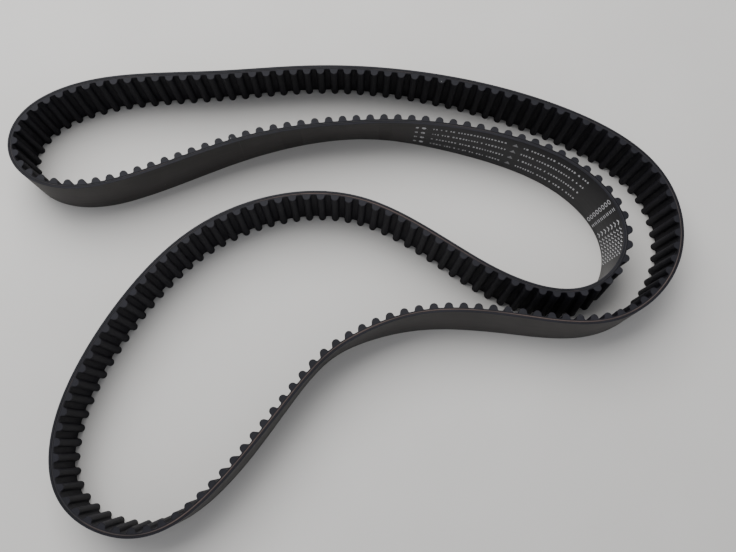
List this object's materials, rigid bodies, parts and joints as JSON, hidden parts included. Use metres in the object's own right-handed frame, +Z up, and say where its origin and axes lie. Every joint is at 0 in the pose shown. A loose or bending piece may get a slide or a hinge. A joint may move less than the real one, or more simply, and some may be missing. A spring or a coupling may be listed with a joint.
{
  "type": "timing belt",
  "caption": "Endless toothed timing belt standing on its edge in a relaxed boomerang-shaped loop, with curved teeth inside and a printed back.",
  "frame": {"origin": "middle of the loop's outline seen from above, on the lower cut edge", "axes": "+Z up across the belt's width, +X along the loop's longest extent"},
  "size_m": [0.3842, 0.2754, 0.032],
  "materials": {
    "back_rubber": "satin, ground",
    "tooth_rubber": "cut edge, matte",
    "tooth_facing": "woven nylon, rubber treated",
    "tension_cord": "glass cord with a brown adhesion coat",
    "ink": "faded light grey ink"
  },
  "bodies": {
    "root": {"back_rubber": "back_rubber", "tooth_rubber": "tooth_rubber", "tooth_facing": "tooth_facing", "tension_cord_01": "tension_cord", "tension_cord_02": "tension_cord", "tension_cord_03": "tension_cord", "tension_cord_04": "tension_cord", "tension_cord_05": "tension_cord", "tension_cord_06": "tension_cord", "tension_cord_07": "tension_cord", "tension_cord_08": "tension_cord", "tension_cord_09": "tension_cord", "tension_cord_10": "tension_cord", "tension_cord_11": "tension_cord", "tension_cord_12": "tension_cord", "tension_cord_13": "tension_cord", "tension_cord_14": "tension_cord", "tension_cord_15": "tension_cord", "tension_cord_16": "tension_cord", "tension_cord_17": "tension_cord", "tension_cord_18": "tension_cord", "tension_cord_19": "tension_cord", "tension_cord_20": "tension_cord", "print_dots": "ink", "print_rows_left": "ink", "print_triangles": "ink", "print_rows_right": "ink", "print_rings": "ink", "print_ticks": "ink", "print_chevrons": "ink", "print_checks": "ink"}
  },
  "joints": []
}
